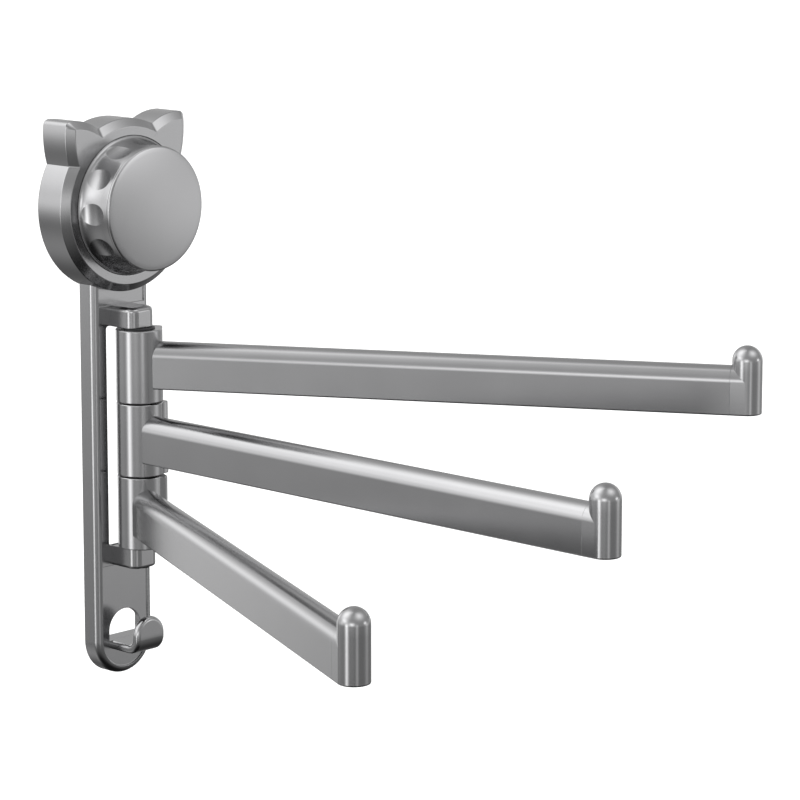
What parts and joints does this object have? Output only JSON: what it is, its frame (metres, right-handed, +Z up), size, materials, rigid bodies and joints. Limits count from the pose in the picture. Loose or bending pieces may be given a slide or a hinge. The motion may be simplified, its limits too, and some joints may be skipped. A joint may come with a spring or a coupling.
{
  "type": "swing arm towel bar",
  "caption": "Wall towel holder: a twist-lock suction head carries a slim plate with a small hook and long bars that swing left and right on one upright pin.",
  "frame": {"origin": "on the wall, on the axis of the suction head and its knob", "axes": "+X right along the wall, +Y into the wall, +Z up; the arms stand out towards -Y"},
  "size_m": [0.2912, 0.3326, 0.2804],
  "materials": {
    "satin_metal": "satin metallic grey coating on aluminium die castings",
    "satin_tube": "satin metallic grey coating on drawn aluminium tube",
    "zinc_steel": "bright zinc plate",
    "brass": "as turned",
    "black_plastic": "moulded, fine matt",
    "white_plastic": "moulded acetal, natural white",
    "clear_rubber": "soft translucent vinyl, glossy",
    "black_rubber": "moulded, matt"
  },
  "bodies": {
    "root": {"suction_cup": "clear_rubber", "pressure_ring": "black_plastic", "head_shell": "satin_metal", "slip_washer": "white_plastic", "back_plate": "satin_metal", "plate_screws": "zinc_steel", "wall_pad": "black_rubber", "pivot_pin": "zinc_steel", "pin_plug": "zinc_steel", "spacer_washers": "black_plastic"},
    "knob": {"knob_body": "satin_metal", "knob_nut": "brass", "knob_cap": "satin_metal"},
    "stud": {"cup_stud": "zinc_steel"},
    "swing_arm_top": {"hub_top": "satin_metal", "bushes_top": "white_plastic", "arm_top": "satin_tube", "post_top": "satin_metal", "arm_screws_top": "zinc_steel"},
    "swing_arm_middle": {"hub_middle": "satin_metal", "bushes_middle": "white_plastic", "arm_middle": "satin_tube", "post_middle": "satin_metal", "arm_screws_middle": "zinc_steel"},
    "swing_arm_bottom": {"hub_bottom": "satin_metal", "bushes_bottom": "white_plastic", "arm_bottom": "satin_tube", "post_bottom": "satin_metal", "arm_screws_bottom": "zinc_steel"}
  },
  "joints": [
    {"name": "arm_top_swing", "type": "hinge", "parent": "root", "child": "swing_arm_top", "pos_m": [0, -0.0254, -0.0783], "axis": [0, 0, -1], "range_deg": [-60, 120]},
    {"name": "arm_middle_swing", "type": "hinge", "parent": "root", "child": "swing_arm_middle", "pos_m": [0, -0.0254, -0.1149], "axis": [0, 0, -1], "range_deg": [-90, 90]},
    {"name": "arm_bottom_swing", "type": "hinge", "parent": "root", "child": "swing_arm_bottom", "pos_m": [0, -0.0254, -0.1515], "axis": [0, 0, -1], "range_deg": [-115, 65]},
    {"name": "knob_turn", "type": "hinge", "parent": "root", "child": "knob", "pos_m": [0, -0.03, 0], "axis": [0, -1, 0], "range_deg": [0, 360]},
    {"name": "stud_slide", "type": "slide", "parent": "root", "child": "stud", "axis": [0, 1, 0], "range_m": [0, 0.0022], "deforming": ["suction_cup"]}
  ],
  "couplings": [
    {"joint": "stud_slide", "follows": "knob_turn", "m_per_rad": 0.00035}
  ]
}
